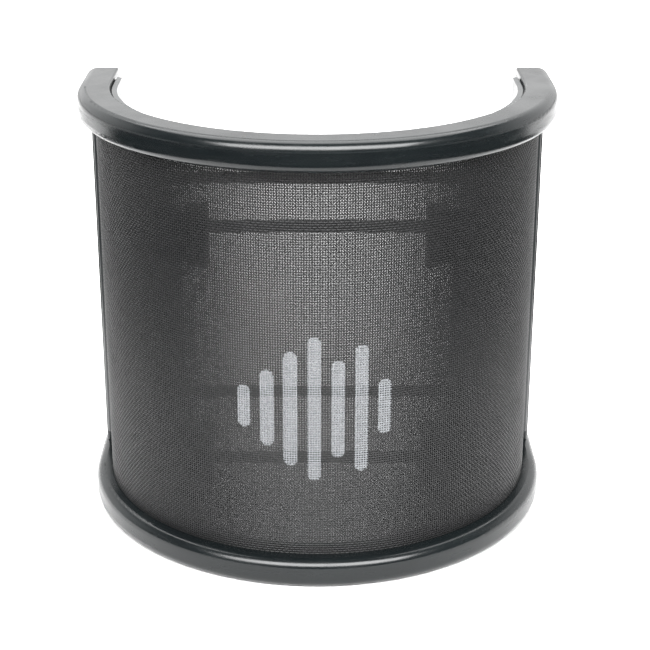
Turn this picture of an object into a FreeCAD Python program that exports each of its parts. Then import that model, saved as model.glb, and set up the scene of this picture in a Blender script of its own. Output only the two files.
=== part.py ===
import FreeCAD, Part
import Sketcher
import math
import os

# A U-shaped pop filter. Two rims and two end posts carry an outer and an inner mesh.
# Inside the meshes, four curved arms hold two closed elastic loops that grip a microphone.
# +Z is up, the round front faces -Y, and the origin is under the middle of the outline.

DRIVING_SIZES = [
    ("RimRadius", 55.6, "outer radius of the rims' round front"),
    ("StraightLength", 16.5, "length of the rims' straight ends, behind the arc's centre"),
    ("RimWidth", 7.6, "width of a rim, seen from above"),
    ("RimHeight", 6.8, "height of a rim"),
    ("OverallHeight", 103.0, "underside of the bottom rim to the top of the top rim"),
    ("RimRounding", 2.2, "rounding of a rim's outer edges"),
    ("RimInnerRounding", 0.5, "rounding of a rim's inner edges"),
    ("EndRounding", 3.2, "rounding of a rim's outer corners at the back, seen from above"),
    ("MeshRadius", 51.7, "outer radius of the outer mesh"),
    ("MeshThickness", 0.4, "thickness of a mesh, two crossed wires"),
    ("MeshSlotPlay", 0.1, "play on each side of the outer mesh in its slot"),
    ("MeshSlotDepth", 3.0, "depth of the mesh slot in a rim"),
    ("PostSlotDepth", 2.0, "depth of the mesh slot in an end post"),
    ("RetainerThickness", 1.2, "thickness of a mesh retainer"),
    ("RetainerHeight", 5.9, "height of a mesh retainer"),
    ("RetainerInset", 1.0, "distance from a rim's face down to its retainer"),
    ("InnerEdgePlay", 0.2, "gap from the inner mesh and its retainers to a post"),
    ("PostLength", 7.5, "length of an end post, front to back"),
    ("PostInset", 1.1, "distance from a rim's outer face to the post's"),
    ("PostSetback", 0.5, "distance from a rim's end to the back of the post"),
    ("PostRounding", 0.9, "rounding of a post's front edge"),
    ("PostRise", 1.2, "height that a post reaches up round a rim's rounded edge"),
    ("PostBackRounding", 2.2, "rounding of a post's back edges"),
    ("TenonHeight", 3.0, "height of the tenon at each end of a post"),
    ("TenonWidth", 3.0, "width of that tenon, side to side"),
    ("TenonLength", 3.2, "length of that tenon, front to back"),
    ("TenonSetback", 1.2, "distance from that tenon to the back of the post"),
    ("TrimWidth", 2.0, "distance that an edge trim stands out of the outer mesh"),
    ("TrimLength", 3.6, "length of an edge trim, front to back"),
    ("TrimGap", 3.8, "distance from an edge trim's lower end to the bottom rim"),
    ("TrimRounding", 1.2, "rounding of an edge trim's front edge"),
    ("CradleLift", 0.4, "height of the arms' middle above the middle of the whole"),
    ("BandDiameter", 2.8, "diameter of the elastic loops"),
    ("BandSpacing", 55.5, "height between the two elastic loops"),
    ("BandPlay", 0.1, "play between a loop and its seat"),
    ("FrontReach", 37.5, "distance from the arc's centre to a loop's front run"),
    ("FrontTurn", 3.0, "radius of a loop's line where it turns on a front guide"),
    ("RearTurn", 2.6, "radius of a loop's line where it leaves an arm at the back"),
    ("FrontSpan", 18.0, "length of the middle of a front run"),
    ("RearSpan", 28.0, "length of the middle of a rear run"),
    ("ArmOuterRadius", 47.2, "outer radius of the arms"),
    ("ArmInnerRadius", 43.0, "inner radius of the arms"),
    ("ArmBaseHeight", 6.6, "height of an arm beneath its loop"),
    ("LugEndGap", 0.8, "distance from an arm's end to the back of the post"),
    ("GuideNear", 23.7, "distance from the middle to a guide's inner side"),
    ("GuideFar", 28.6, "distance from the middle to a guide's outer side"),
    ("GuideBack", 33.2, "distance from the arc's centre to a guide's back"),
    ("GuideHeight", 12.6, "height of a guide"),
    ("UpperGuideCap", 4.1, "height of an upper guide above its loop's line"),
    ("LowerGuideCap", 5.6, "height of a lower guide below its loop's line"),
    ("GuideRounding", 0.5, "rounding of a guide's upright edges"),
    ("StrutDiameter", 3.0, "diameter of the struts between the arms"),
    ("StrutAngle", 44.8, "place of a strut along its arm, in degrees from the front"),
    ("StrutSeat", 4.0, "depth of a strut's seat in an arm"),
    ("ScrewDiameter", 2.5, "diameter of the lug screws"),
    ("ScrewBite", 4.0, "length of a lug screw inside the post"),
    ("ScrewHeadDiameter", 4.6, "diameter of a lug screw's head"),
    ("ScrewHeadHeight", 1.6, "height of a lug screw's head"),
    ("ScrewHeadRounding", 0.6, "rounding of a lug screw's head"),
    ("RecessWidth", 0.7, "width of each bar of the cross recess"),
    ("RecessLength", 2.6, "length of each bar of the cross recess"),
    ("RecessDepth", 0.9, "depth of the cross recess"),
]

doc = FreeCAD.newDocument("PopFilter")
sheet = doc.addObject("Spreadsheet::Sheet", "Sheet")
for row, (alias, number, meaning) in enumerate(DRIVING_SIZES, start=1):
    sheet.set("A%d" % row, meaning)
    sheet.set("B%d" % row, str(number))
    sheet.setAlias("B%d" % row, alias)
doc.recompute()

# Places that several pieces share, as expressions of the driving sizes.
ARC_Y = "(Sheet.RimRadius - Sheet.StraightLength) / 2"
END_Y = "(Sheet.RimRadius + Sheet.StraightLength) / 2"
POST_BACK_Y = END_Y + " - Sheet.PostSetback"
POST_FRONT_Y = POST_BACK_Y + " - Sheet.PostLength"
LUG_END_Y = POST_BACK_Y + " - Sheet.LugEndGap"
INNER_END_Y = POST_FRONT_Y + " - Sheet.InnerEdgePlay"
RIM_INNER = "Sheet.RimRadius - Sheet.RimWidth"
POST_OUTER = "Sheet.RimRadius - Sheet.PostInset"
BETWEEN_RIMS = "Sheet.OverallHeight - 2 * Sheet.RimHeight"
MIDDLE_Z = "Sheet.OverallHeight / 2"
CRADLE_Z = MIDDLE_Z + " + Sheet.CradleLift"
UPPER_BAND_Z = CRADLE_Z + " + Sheet.BandSpacing / 2"
LOWER_BAND_Z = CRADLE_Z + " - Sheet.BandSpacing / 2"
BAND_HALF = "(Sheet.BandDiameter / 2 + Sheet.BandPlay)"
ARM_BASE_TOP = UPPER_BAND_Z + " - " + BAND_HALF
ARM_BASE_LOW = ARM_BASE_TOP + " - Sheet.ArmBaseHeight"
LIP_OUTER = "Sheet.ArmOuterRadius - 2 * " + BAND_HALF
CHANNEL_RADIUS = "Sheet.ArmOuterRadius - " + BAND_HALF
LIP_END_Y = ARC_Y + " - " + BAND_HALF
ARM_CENTRE = "(Sheet.ArmOuterRadius + Sheet.ArmInnerRadius) / 2"
SCREW_Y = "(%s + %s) / 2" % (POST_FRONT_Y, LUG_END_Y)
SCREW_Z = "(%s + %s) / 2" % (ARM_BASE_LOW, ARM_BASE_TOP)
LOWER_SCREW_Z = "2 * (%s) - %s" % (CRADLE_Z, SCREW_Z)
STRUT_FOOT_Z = "2 * (%s) - (%s) - Sheet.StrutSeat" % (CRADLE_Z, ARM_BASE_LOW)
STRUT_X = ARM_CENTRE + " * sin(Sheet.StrutAngle * 1 deg)"
STRUT_Y = ARC_Y + " - " + ARM_CENTRE + " * cos(Sheet.StrutAngle * 1 deg)"

# A loop turns on a front guide about this point: a distance to the side and one forwards.
FRONT_TURN_X = "sqrt((%s - Sheet.FrontTurn) ^ 2 - (Sheet.FrontReach - Sheet.FrontTurn) ^ 2)" % CHANNEL_RADIUS
FRONT_TURN_DROP = "Sheet.FrontReach - Sheet.FrontTurn - " + ARC_Y


def value(expression):
    """The number that an expression of the sheet's cells gives."""
    return float(sheet.evalExpression(expression))


arc_y = value(ARC_Y)
post_front_y = value(POST_FRONT_Y)
post_back_y = value(POST_BACK_Y)


# ---- helpers for bodies and sketches ----

def start_body(label):
    body = doc.addObject("PartDesign::Body", label)
    body.Label = label
    return body


def plane_sketch(body, name, offset=None, role="XY_Plane"):
    """A sketch on one of the body's own planes, moved along the plane's normal."""
    sketch = body.newObject("Sketcher::SketchObject", name)
    for feature in body.Origin.OriginFeatures:
        if feature.Role == role:
            sketch.AttachmentSupport = (feature, [""])
    sketch.MapMode = "FlatFace"
    if offset:
        sketch.setExpression("AttachmentOffset.Base.z", offset)
    return sketch


def rule(sketch, *arguments):
    return sketch.addConstraint(Sketcher.Constraint(*arguments))


def dimension(sketch, name, expression, *arguments):
    """A named dimension whose value comes from the sheet."""
    index = sketch.addConstraint(Sketcher.Constraint(*arguments, value(expression)))
    sketch.renameConstraint(index, name)
    sketch.setExpression("Constraints." + name, expression)


def add_line(sketch, start, end):
    return sketch.addGeometry(Part.LineSegment(FreeCAD.Vector(*start, 0), FreeCAD.Vector(*end, 0)), False)


def add_arc(sketch, centre, radius, start_angle, end_angle):
    circle = Part.Circle(FreeCAD.Vector(*centre, 0), FreeCAD.Vector(0, 0, 1), radius)
    return sketch.addGeometry(Part.ArcOfCircle(circle, start_angle, end_angle), False)


def add_circle(sketch, name, x, y, diameter):
    """A circle whose centre and diameter are expressions; the centre's x and y are positive."""
    centre = FreeCAD.Vector(value(x), value(y), 0)
    index = sketch.addGeometry(Part.Circle(centre, FreeCAD.Vector(0, 0, 1), value(diameter) / 2), False)
    dimension(sketch, name + "_x", x, "DistanceX", -1, 1, index, 3)
    dimension(sketch, name + "_y", y, "DistanceY", -1, 1, index, 3)
    dimension(sketch, name + "_diameter", diameter, "Diameter", index)


def add_rectangle(sketch, low_x, low_y, width, length):
    """A rectangle from its low corner, width and length, all of them expressions."""
    x0, y0 = value(low_x), value(low_y)
    x1, y1 = x0 + value(width), y0 + value(length)
    corners = [(x0, y0), (x1, y0), (x1, y1), (x0, y1)]
    sides = [add_line(sketch, corners[i], corners[(i + 1) % 4]) for i in range(4)]
    for i in range(4):
        rule(sketch, "Coincident", sides[i], 2, sides[(i + 1) % 4], 1)
        rule(sketch, "Horizontal" if i % 2 == 0 else "Vertical", sides[i])
    dimension(sketch, "low_x", low_x, "DistanceX", -1, 1, sides[0], 1)
    dimension(sketch, "low_y", low_y, "DistanceY", -1, 1, sides[0], 1)
    dimension(sketch, "width", width, "DistanceX", sides[0], 1, sides[0], 2)
    dimension(sketch, "length", length, "DistanceY", sides[1], 1, sides[1], 2)


def add_u_outline(sketch, outer, inner, end):
    """A closed U: two half circles about the arc's centre, with straight sides back to END."""
    outer_radius, inner_radius, end_y = value(outer), value(inner), value(end)
    arcs = [add_arc(sketch, (0, arc_y), radius, math.pi, 2 * math.pi)
            for radius in (outer_radius, inner_radius)]
    for side, arc_end in ((1, 2), (-1, 1)):
        outside = add_line(sketch, (side * outer_radius, arc_y), (side * outer_radius, end_y))
        across = add_line(sketch, (side * outer_radius, end_y), (side * inner_radius, end_y))
        inside = add_line(sketch, (side * inner_radius, end_y), (side * inner_radius, arc_y))
        rule(sketch, "Coincident", arcs[0], arc_end, outside, 1)
        rule(sketch, "Coincident", outside, 2, across, 1)
        rule(sketch, "Coincident", across, 2, inside, 1)
        rule(sketch, "Coincident", inside, 2, arcs[1], arc_end)
        rule(sketch, "Vertical", outside)
        rule(sketch, "Vertical", inside)
        rule(sketch, "Horizontal", across)
        rule(sketch, "Horizontal", arcs[0], 3, arcs[0], arc_end)
        rule(sketch, "Horizontal", arcs[1], 3, arcs[1], arc_end)
        dimension(sketch, "end_%d" % arc_end, end, "DistanceY", -1, 1, outside, 2)
    rule(sketch, "Coincident", arcs[0], 3, arcs[1], 3)
    rule(sketch, "PointOnObject", arcs[0], 3, -2)
    dimension(sketch, "outer", outer, "Radius", arcs[0])
    dimension(sketch, "inner", inner, "Radius", arcs[1])
    dimension(sketch, "centre", ARC_Y, "DistanceY", -1, 1, arcs[0], 3)


def pad(body, sketch, length, name="Pad"):
    feature = body.newObject("PartDesign::Pad", name)
    feature.Profile = sketch
    feature.setExpression("Length", length)
    body.Tip = feature
    doc.recompute()
    return feature


def pocket(body, sketch, length, name="Pocket"):
    """Cuts along the sketch's normal, and checks that something went."""
    volume_before = body.Tip.Shape.Volume
    feature = body.newObject("PartDesign::Pocket", name)
    feature.Profile = sketch
    feature.Reversed = True
    feature.setExpression("Length", length)
    body.Tip = feature
    doc.recompute()
    if not feature.Shape.Volume < volume_before - 0.01:
        raise RuntimeError("%s of %s cuts nothing" % (name, body.Label))
    return feature


def round_edges(body, chosen, radius, name="Rounding"):
    """Rounds those edges of the body for which chosen(edge) is true."""
    tip = body.Tip
    edges = ["Edge%d" % (i + 1) for i, edge in enumerate(tip.Shape.Edges) if chosen(edge)]
    if not edges:
        raise RuntimeError("%s of %s finds no edge" % (name, body.Label))
    feature = body.newObject("PartDesign::Fillet", name)
    feature.Base = (tip, edges)
    feature.setExpression("Radius", radius)
    body.Tip = feature
    doc.recompute()
    return feature


def is_upright(edge):
    return edge.BoundBox.XLength < 1e-6 and edge.BoundBox.YLength < 1e-6


def upright_at(x=None, y=None, both_sides=False):
    """Chooses upright edges by their x, their y or both; with both_sides, x counts on either side."""
    def chosen(edge):
        box = edge.BoundBox
        found_x = abs(box.XMin) if both_sides else box.XMin
        return (is_upright(edge)
                and (x is None or abs(found_x - x) < 1e-4)
                and (y is None or abs(box.YMin - y) < 1e-4))
    return chosen


def is_level(edge):
    return edge.BoundBox.ZLength < 1e-6


def from_arc_centre(edge):
    """How far the middle of an edge is from the arc's centre line, or from the middle behind it."""
    middle = edge.valueAt((edge.FirstParameter + edge.LastParameter) / 2)
    return math.hypot(middle.x, min(middle.y - arc_y, 0))


def outside_edge(edge):
    """The level edges of a rim that run along its outside and across its ends."""
    return is_level(edge) and from_arc_centre(edge) > value(RIM_INNER) + 0.1


def inside_edge(edge):
    """The long level edges on the inner side of a rim."""
    return is_level(edge) and abs(from_arc_centre(edge) - value(RIM_INNER)) < 0.1


def mirror(label, source, height=None):
    """A copy mirrored top to bottom about a height, or left to right when none is given."""
    copy = doc.addObject("Part::Mirroring", label)
    copy.Label = label
    copy.Source = source
    if height:
        copy.Normal = FreeCAD.Vector(0, 0, 1)
        copy.setExpression("Base.z", height)
    else:
        copy.Normal = FreeCAD.Vector(1, 0, 0)
    return copy


def level_cylinder(label, start_x, y, z, radius, length):
    """A cylinder that lies along X; its sizes and place are expressions."""
    cylinder = doc.addObject("Part::Cylinder", label)
    cylinder.Label = label
    lying = FreeCAD.Rotation(FreeCAD.Vector(0, 1, 0), 90)
    cylinder.Placement = FreeCAD.Placement(FreeCAD.Vector(0, 0, 0), lying)
    for name, expression in (("Placement.Base.x", start_x), ("Placement.Base.y", y),
                             ("Placement.Base.z", z), ("Radius", radius), ("Height", length)):
        cylinder.setExpression(name, expression)
    return cylinder


# ---- rims, meshes and retainers ----

def make_top_rim():
    """A flat U with rounded edges, slotted underneath for the outer mesh and the post tenons."""
    body = start_body("top_rim")
    underside = "Sheet.OverallHeight - Sheet.RimHeight"
    outline = plane_sketch(body, "RimOutline", underside)
    add_u_outline(outline, "Sheet.RimRadius", RIM_INNER, END_Y)
    pad(body, outline, "Sheet.RimHeight")
    corner = upright_at(x=value("Sheet.RimRadius"), y=value(END_Y), both_sides=True)
    round_edges(body, corner, "Sheet.EndRounding", "OuterCorners")
    round_edges(body, outside_edge, "Sheet.RimRounding", "OuterEdges")
    round_edges(body, inside_edge, "Sheet.RimInnerRounding", "InnerEdges")
    slot = plane_sketch(body, "RimSlotOutline", underside)
    add_u_outline(slot, "Sheet.MeshRadius + Sheet.MeshSlotPlay",
                  "Sheet.MeshRadius - Sheet.MeshThickness - Sheet.MeshSlotPlay",
                  POST_FRONT_Y + " + Sheet.PostSlotDepth")
    pocket(body, slot, "Sheet.MeshSlotDepth", "RimSlot")
    for side in ("right", "left"):
        mortise = plane_sketch(body, "Mortise_" + side, underside)
        if side == "right":
            add_rectangle(mortise, *tenon_outline())
        else:
            add_mirrored_rectangle(mortise, *tenon_outline())
        pocket(body, mortise, "Sheet.TenonHeight", "MortiseCut_" + side)
    return body


def tenon_outline():
    """Low corner, width and length of the right post's tenon."""
    low_x = "(Sheet.RimRadius - Sheet.PostInset + %s - Sheet.TenonWidth) / 2" % RIM_INNER
    low_y = POST_BACK_Y + " - Sheet.TenonSetback - Sheet.TenonLength"
    return low_x, low_y, "Sheet.TenonWidth", "Sheet.TenonLength"


def add_mirrored_rectangle(sketch, low_x, low_y, width, length):
    """The same rectangle as add_rectangle gives, on the other side of the middle."""
    x0, y0 = -value(low_x), value(low_y)
    x1, y1 = x0 - value(width), y0 + value(length)
    corners = [(x0, y0), (x0, y1), (x1, y1), (x1, y0)]
    sides = [add_line(sketch, corners[i], corners[(i + 1) % 4]) for i in range(4)]
    for i in range(4):
        rule(sketch, "Coincident", sides[i], 2, sides[(i + 1) % 4], 1)
        rule(sketch, "Vertical" if i % 2 == 0 else "Horizontal", sides[i])
    dimension(sketch, "low_x", low_x, "DistanceX", sides[0], 1, -1, 1)
    dimension(sketch, "low_y", low_y, "DistanceY", -1, 1, sides[0], 1)
    dimension(sketch, "width", width, "DistanceX", sides[2], 1, sides[0], 2)
    dimension(sketch, "length", length, "DistanceY", sides[0], 1, sides[0], 2)


def make_u_band(label, outer, inner, end, low, height):
    """A thin upright wall on the U, for the meshes and the retainers."""
    body = start_body(label)
    outline = plane_sketch(body, label + "_outline", low)
    add_u_outline(outline, outer, inner, end)
    pad(body, outline, height)
    return body


top_rim = make_top_rim()
bottom_rim = mirror("bottom_rim", top_rim, MIDDLE_Z)

outer_mesh = make_u_band(
    "outer_mesh", "Sheet.MeshRadius", "Sheet.MeshRadius - Sheet.MeshThickness",
    POST_FRONT_Y + " + Sheet.PostSlotDepth", "Sheet.RimHeight - Sheet.MeshSlotDepth",
    BETWEEN_RIMS + " + 2 * Sheet.MeshSlotDepth")
inner_mesh = make_u_band(
    "inner_mesh", RIM_INNER, RIM_INNER + " - Sheet.MeshThickness", INNER_END_Y,
    "Sheet.RetainerInset + Sheet.MeshThickness",
    "Sheet.OverallHeight - 2 * (Sheet.RetainerInset + Sheet.MeshThickness)")
top_mesh_retainer = make_u_band(
    "top_mesh_retainer", RIM_INNER + " - Sheet.MeshThickness",
    RIM_INNER + " - Sheet.MeshThickness - Sheet.RetainerThickness", INNER_END_Y,
    "Sheet.OverallHeight - Sheet.RetainerInset - Sheet.RetainerHeight", "Sheet.RetainerHeight")
bottom_mesh_retainer = mirror("bottom_mesh_retainer", top_mesh_retainer, MIDDLE_Z)


# ---- end posts and edge trims ----

def add_screw_circles(sketch):
    """Two circles on the YZ plane, where the upper and the lower lug screw go."""
    add_circle(sketch, "upper", SCREW_Y, SCREW_Z, "Sheet.ScrewDiameter")
    add_circle(sketch, "lower", SCREW_Y, LOWER_SCREW_Z, "Sheet.ScrewDiameter")


def make_right_post():
    """An upright bar that fits against both rims, with a tenon at each end and a slot for the outer mesh."""
    body = start_body("PostBar")
    outline = plane_sketch(body, "PostOutline", "Sheet.RimHeight - Sheet.PostRise")
    add_rectangle(outline, RIM_INNER, POST_FRONT_Y, "Sheet.RimWidth - Sheet.PostInset", "Sheet.PostLength")
    pad(body, outline, BETWEEN_RIMS + " + 2 * Sheet.PostRise")
    round_edges(body, upright_at(y=post_back_y), "Sheet.PostBackRounding", "BackEdges")
    round_edges(body, upright_at(x=value(POST_OUTER), y=post_front_y), "Sheet.PostRounding", "FrontEdge")
    tenon = plane_sketch(body, "TenonOutline", "Sheet.RimHeight - Sheet.TenonHeight")
    add_rectangle(tenon, *tenon_outline())
    pad(body, tenon, BETWEEN_RIMS + " + 2 * Sheet.TenonHeight", "Tenons")
    slot = plane_sketch(body, "PostSlotOutline", "Sheet.RimHeight - Sheet.PostRise")
    add_rectangle(slot, "Sheet.MeshRadius - Sheet.MeshThickness - Sheet.MeshSlotPlay", POST_FRONT_Y,
                  "Sheet.MeshThickness + 2 * Sheet.MeshSlotPlay", "Sheet.PostSlotDepth")
    pocket(body, slot, BETWEEN_RIMS + " + 2 * Sheet.PostRise", "PostSlot")
    holes = plane_sketch(body, "PostHoles", RIM_INNER, "YZ_Plane")
    add_screw_circles(holes)
    pocket(body, holes, "Sheet.ScrewBite", "ScrewHoles")
    fitted = body
    for rim in (top_rim, bottom_rim):
        cut = doc.addObject("Part::Cut", "PostAgainst_" + rim.Label)
        cut.Base = fitted
        cut.Tool = rim
        fitted = cut
    fitted.Label = "right_end_post"
    return fitted


def make_right_trim():
    """A slim upright bead that covers the end of the outer mesh in front of its post."""
    body = start_body("right_edge_trim")
    outline = plane_sketch(body, "TrimOutline", "Sheet.RimHeight + Sheet.TrimGap")
    add_rectangle(outline, "Sheet.MeshRadius", POST_FRONT_Y + " - Sheet.TrimLength",
                  "Sheet.TrimWidth", "Sheet.TrimLength")
    pad(body, outline, BETWEEN_RIMS + " - Sheet.TrimGap")
    trim_outer = value("Sheet.MeshRadius + Sheet.TrimWidth")
    trim_front = value(POST_FRONT_Y + " - Sheet.TrimLength")
    round_edges(body, upright_at(x=trim_outer, y=trim_front), "Sheet.TrimRounding", "TrimFrontEdge")
    return body


right_end_post = make_right_post()
left_end_post = mirror("left_end_post", right_end_post)
right_edge_trim = make_right_trim()
left_edge_trim = mirror("left_edge_trim", right_edge_trim)


# ---- arms that follow the inner mesh, with a channel for the loop ----

def add_arm_curve(sketch, radius, end_angle):
    """An arc about the arc's centre, from the guide's outer side to END_ANGLE."""
    start_angle = -math.acos(value("Sheet.GuideFar") / radius)
    return add_arc(sketch, (0, arc_y), radius, start_angle, end_angle)


def fix_arm_curves(sketch, outer_arc, inner_arc, outer, inner):
    """Centres both arcs, sets their radii and starts them on the guide's outer side."""
    closing = add_line(sketch, arc_point(sketch, inner_arc), arc_point(sketch, outer_arc))
    rule(sketch, "Coincident", inner_arc, 1, closing, 1)
    rule(sketch, "Coincident", closing, 2, outer_arc, 1)
    rule(sketch, "Vertical", closing)
    rule(sketch, "Coincident", outer_arc, 3, inner_arc, 3)
    rule(sketch, "PointOnObject", outer_arc, 3, -2)
    dimension(sketch, "centre", ARC_Y, "DistanceY", -1, 1, outer_arc, 3)
    dimension(sketch, "outer", outer, "Radius", outer_arc)
    dimension(sketch, "inner", inner, "Radius", inner_arc)
    dimension(sketch, "near_end", "Sheet.GuideFar", "DistanceX", -1, 1, closing, 1)


def arc_point(sketch, arc):
    """The start of an arc of the sketch."""
    start = sketch.Geometry[arc].StartPoint
    return (start.x, start.y)


def make_upper_arm():
    """A curved bar from the guide to the post, a lip that holds the loop, and a lug."""
    body = start_body("right_upper_arm")
    base = plane_sketch(body, "ArmOutline", ARM_BASE_LOW)
    outer, inner = value("Sheet.ArmOuterRadius"), value("Sheet.ArmInnerRadius")
    outer_arc = add_arm_curve(base, outer, 0)
    inner_arc = add_arm_curve(base, inner, 0)
    lug_face, lug_end = value(RIM_INNER), value(LUG_END_Y)
    corners = [(outer, arc_y), (outer, post_front_y), (lug_face, post_front_y),
               (lug_face, lug_end), (inner, lug_end), (inner, arc_y)]
    sides = [add_line(base, first, second) for first, second in zip(corners, corners[1:])]
    rule(base, "Coincident", outer_arc, 2, sides[0], 1)
    for first, second in zip(sides, sides[1:]):
        rule(base, "Coincident", first, 2, second, 1)
    rule(base, "Coincident", sides[-1], 2, inner_arc, 2)
    for index, direction in enumerate(("Vertical", "Horizontal", "Vertical", "Horizontal", "Vertical")):
        rule(base, direction, sides[index])
    rule(base, "Horizontal", outer_arc, 3, outer_arc, 2)
    rule(base, "Horizontal", inner_arc, 3, inner_arc, 2)
    fix_arm_curves(base, outer_arc, inner_arc, "Sheet.ArmOuterRadius", "Sheet.ArmInnerRadius")
    dimension(base, "lug_start", POST_FRONT_Y, "DistanceY", -1, 1, sides[0], 2)
    dimension(base, "lug_face", RIM_INNER, "DistanceX", -1, 1, sides[2], 1)
    dimension(base, "lug_end", LUG_END_Y, "DistanceY", -1, 1, sides[3], 1)
    pad(body, base, "Sheet.ArmBaseHeight")
    add_lip(body)
    lug = plane_sketch(body, "LugOutline", ARM_BASE_TOP)
    add_rectangle(lug, "Sheet.ArmInnerRadius", POST_FRONT_Y, RIM_INNER + " - Sheet.ArmInnerRadius",
                  "Sheet.PostLength - Sheet.LugEndGap")
    pad(body, lug, "2 * " + BAND_HALF, "Lug")
    seat = plane_sketch(body, "StrutSeatOutline", ARM_BASE_LOW)
    hole = seat.addGeometry(Part.Circle(FreeCAD.Vector(value(STRUT_X), value(STRUT_Y), 0),
                                        FreeCAD.Vector(0, 0, 1), value("Sheet.StrutDiameter") / 2), False)
    dimension(seat, "seat_x", STRUT_X, "DistanceX", -1, 1, hole, 3)
    dimension(seat, "seat_y", "-(%s)" % STRUT_Y, "DistanceY", hole, 3, -1, 1)
    dimension(seat, "seat_diameter", "Sheet.StrutDiameter", "Diameter", hole)
    pocket(body, seat, "Sheet.StrutSeat", "StrutSeat")
    holes = plane_sketch(body, "LugHoles", "Sheet.ArmInnerRadius", "YZ_Plane")
    add_circle(holes, "upper", SCREW_Y, SCREW_Z, "Sheet.ScrewDiameter")
    pocket(body, holes, RIM_INNER + " - Sheet.ArmInnerRadius", "LugHole")
    return body


def add_lip(body):
    """The thin wall on the inner side of the channel; its back end is the nose the loop turns on."""
    lip = plane_sketch(body, "LipOutline", ARM_BASE_TOP)
    outer, inner = value(LIP_OUTER), value("Sheet.ArmInnerRadius")
    nose = value(BAND_HALF)
    outer_arc = add_arm_curve(lip, outer, -math.asin(nose / outer))
    inner_arc = add_arm_curve(lip, inner, -math.asin(nose / inner))
    ends = [lip.Geometry[arc].EndPoint for arc in (outer_arc, inner_arc)]
    end_line = add_line(lip, (ends[0].x, ends[0].y), (ends[1].x, ends[1].y))
    rule(lip, "Coincident", outer_arc, 2, end_line, 1)
    rule(lip, "Coincident", end_line, 2, inner_arc, 2)
    rule(lip, "Horizontal", end_line)
    fix_arm_curves(lip, outer_arc, inner_arc, LIP_OUTER, "Sheet.ArmInnerRadius")
    dimension(lip, "nose", LIP_END_Y, "DistanceY", -1, 1, end_line, 1)
    pad(body, lip, "2 * " + BAND_HALF, "Lip")
    round_edges(body, upright_at(x=ends[0].x, y=ends[0].y), "Sheet.RearTurn - " + BAND_HALF, "LipNose")


def front_turn_centre():
    return value(FRONT_TURN_X), -value(FRONT_TURN_DROP)


def make_guide(label, band_z, low):
    """A block at an arm's front end, cut away around the post that the loop turns on."""
    body = start_body(label)
    outline = plane_sketch(body, label + "_outline", low)
    radius = value("Sheet.ArmOuterRadius")
    near, far = value("Sheet.GuideNear"), value("Sheet.GuideFar")
    back = arc_y - value("Sheet.GuideBack")
    front = add_arc(outline, (0, arc_y), radius, -math.acos(near / radius), -math.acos(far / radius))
    start, end = outline.Geometry[front].StartPoint, outline.Geometry[front].EndPoint
    corners = [(end.x, end.y), (far, back), (near, back), (start.x, start.y)]
    sides = [add_line(outline, first, second) for first, second in zip(corners, corners[1:])]
    rule(outline, "Coincident", front, 2, sides[0], 1)
    rule(outline, "Coincident", sides[0], 2, sides[1], 1)
    rule(outline, "Coincident", sides[1], 2, sides[2], 1)
    rule(outline, "Coincident", sides[2], 2, front, 1)
    rule(outline, "Vertical", sides[0])
    rule(outline, "Horizontal", sides[1])
    rule(outline, "Vertical", sides[2])
    rule(outline, "PointOnObject", front, 3, -2)
    dimension(outline, "centre", ARC_Y, "DistanceY", -1, 1, front, 3)
    dimension(outline, "front", "Sheet.ArmOuterRadius", "Radius", front)
    dimension(outline, "near", "Sheet.GuideNear", "DistanceX", -1, 1, sides[2], 1)
    dimension(outline, "far", "Sheet.GuideFar", "DistanceX", -1, 1, sides[0], 1)
    dimension(outline, "back", "Sheet.GuideBack", "DistanceY", sides[1], 1, front, 3)
    pad(body, outline, "Sheet.GuideHeight")
    round_edges(body, is_upright, "Sheet.GuideRounding", "GuideEdges")
    notch = plane_sketch(body, label + "_notch", band_z + " - " + BAND_HALF)
    turn_x, turn_y = front_turn_centre()
    core = notch.addGeometry(Part.Circle(FreeCAD.Vector(turn_x, turn_y, 0), FreeCAD.Vector(0, 0, 1),
                                         value("Sheet.FrontTurn - " + BAND_HALF)), False)
    rim = notch.addGeometry(Part.Circle(FreeCAD.Vector(turn_x, turn_y, 0), FreeCAD.Vector(0, 0, 1),
                                        value("Sheet.GuideHeight")), False)
    rule(notch, "Coincident", core, 3, rim, 3)
    dimension(notch, "turn_x", FRONT_TURN_X, "DistanceX", -1, 1, core, 3)
    dimension(notch, "turn_y", FRONT_TURN_DROP, "DistanceY", core, 3, -1, 1)
    dimension(notch, "core", "Sheet.FrontTurn - " + BAND_HALF, "Radius", core)
    dimension(notch, "reach", "Sheet.GuideHeight", "Radius", rim)
    pocket(body, notch, "2 * " + BAND_HALF, label + "_cut")
    return body


right_upper_arm = make_upper_arm()
left_upper_arm = mirror("left_upper_arm", right_upper_arm)
right_lower_arm = mirror("right_lower_arm", right_upper_arm, CRADLE_Z)
left_lower_arm = mirror("left_lower_arm", right_lower_arm)

right_upper_guide = make_guide(
    "right_upper_guide", UPPER_BAND_Z, UPPER_BAND_Z + " + Sheet.UpperGuideCap - Sheet.GuideHeight")
left_upper_guide = mirror("left_upper_guide", right_upper_guide)
right_lower_guide = make_guide("right_lower_guide", LOWER_BAND_Z, LOWER_BAND_Z + " - Sheet.LowerGuideCap")
left_lower_guide = mirror("left_lower_guide", right_lower_guide)


# ---- struts and screws ----

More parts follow.
